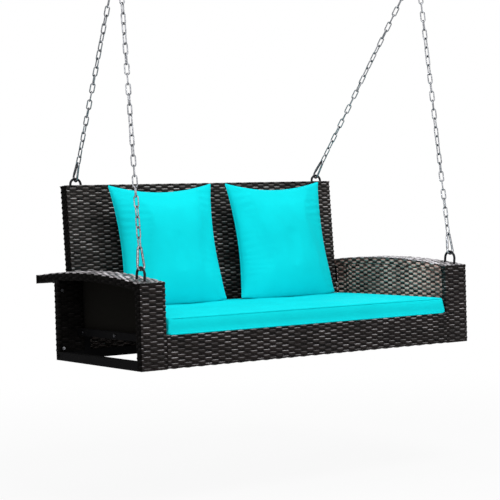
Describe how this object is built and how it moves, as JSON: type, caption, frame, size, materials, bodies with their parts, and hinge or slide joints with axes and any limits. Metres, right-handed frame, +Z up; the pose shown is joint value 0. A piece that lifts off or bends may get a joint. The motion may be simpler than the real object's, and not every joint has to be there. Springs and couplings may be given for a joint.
{
  "type": "porch swing seat",
  "caption": "Wicker-covered porch swing bench with arched arms, seat cushion and back pillows, hung on chains with snap hooks from ceiling screw hooks.",
  "frame": {"origin": "on the ceiling's underside, midway between the two ceiling screws", "axes": "+Z up, +X from the right-hand to the left-hand side as the sitter faces forward, +Y from the front of the seat to its back"},
  "size_m": [1.27, 0.6625, 1.4125],
  "materials": {
    "wicker": "satin",
    "frame_paint": "satin",
    "eye_paint": "gloss",
    "zinc": "satin",
    "cloth": "matte"
  },
  "bodies": {
    "ceiling": {"ceiling_hook_left": "zinc", "ceiling_hook_right": "zinc", "ceiling_washers": "zinc"},
    "swing": {"hanging_ring_left": "zinc", "hanging_ring_right": "zinc", "chain_front_left": "zinc", "chain_front_right": "zinc", "chain_rear_left": "zinc", "chain_rear_right": "zinc", "snap_hook_front_left": "zinc", "snap_hook_front_right": "zinc", "snap_hook_rear_left": "zinc", "snap_hook_rear_right": "zinc", "gate_pins": "zinc", "eye_front_left": "eye_paint", "eye_front_right": "eye_paint", "eye_rear_left": "eye_paint", "eye_rear_right": "eye_paint", "eye_washers": "zinc", "eye_nuts": "zinc", "arm_frame_left": "frame_paint", "arm_frame_right": "frame_paint", "arm_top_left": "wicker", "arm_top_right": "wicker", "front_column_left": "wicker", "front_column_right": "wicker", "rear_post_left": "wicker", "rear_post_right": "wicker", "inner_panel_left": "wicker", "inner_panel_right": "wicker", "seat_bearer_left": "frame_paint", "seat_bearer_right": "frame_paint", "bottom_rail_left": "frame_paint", "bottom_rail_right": "frame_paint", "rear_rail": "frame_paint", "rear_struts": "frame_paint", "seat_rail_front": "frame_paint", "seat_rail_rear": "frame_paint", "seat_rail_sides": "frame_paint", "seat_bars": "frame_paint", "apron_frame": "frame_paint", "front_apron": "wicker", "seat_deck": "wicker", "back_frame": "frame_paint", "back_panel": "wicker", "back_bracket_left": "frame_paint", "back_bracket_right": "frame_paint", "arm_bolts": "zinc", "post_bolts": "zinc", "post_nuts": "zinc", "rail_bolts": "zinc", "back_bolts": "zinc", "bracket_bolts": "zinc", "seat_cushion": "cloth", "back_pillow_left": "cloth", "back_pillow_right": "cloth"},
    "gate_front_left": {"hook_gate_front_left": "zinc"},
    "gate_front_right": {"hook_gate_front_right": "zinc"},
    "gate_rear_left": {"hook_gate_rear_left": "zinc"},
    "gate_rear_right": {"hook_gate_rear_right": "zinc"}
  },
  "joints": [
    {"name": "seat_swing", "type": "hinge", "parent": "ceiling", "child": "swing", "pos_m": [0, 0, -0.0442], "axis": [1, 0, 0], "range_deg": [-30, 30]},
    {"name": "gate_front_left", "type": "hinge", "parent": "swing", "child": "gate_front_left", "pos_m": [-0.6072, -0.10595, -1.00209], "axis": [0, -0.9933, 0.1152], "range_deg": [0, 20], "stiffness_Nm_per_rad": 0.1, "springref_deg": -17.19},
    {"name": "gate_front_right", "type": "hinge", "parent": "swing", "child": "gate_front_right", "pos_m": [0.59391, -0.10598, -1.00235], "axis": [0, -0.9933, 0.1152], "range_deg": [0, 20], "stiffness_Nm_per_rad": 0.1, "springref_deg": -17.19},
    {"name": "gate_rear_left", "type": "hinge", "parent": "swing", "child": "gate_rear_left", "pos_m": [-0.4978, 0.46761, -0.73034], "axis": [-0.9924, 0, -0.1232], "range_deg": [0, 20], "stiffness_Nm_per_rad": 0.1, "springref_deg": -17.19},
    {"name": "gate_rear_right", "type": "hinge", "parent": "swing", "child": "gate_rear_right", "pos_m": [0.4978, 0.46761, -0.73034], "axis": [-0.9924, 0, 0.1232], "range_deg": [0, 20], "stiffness_Nm_per_rad": 0.1, "springref_deg": -17.19}
  ]
}
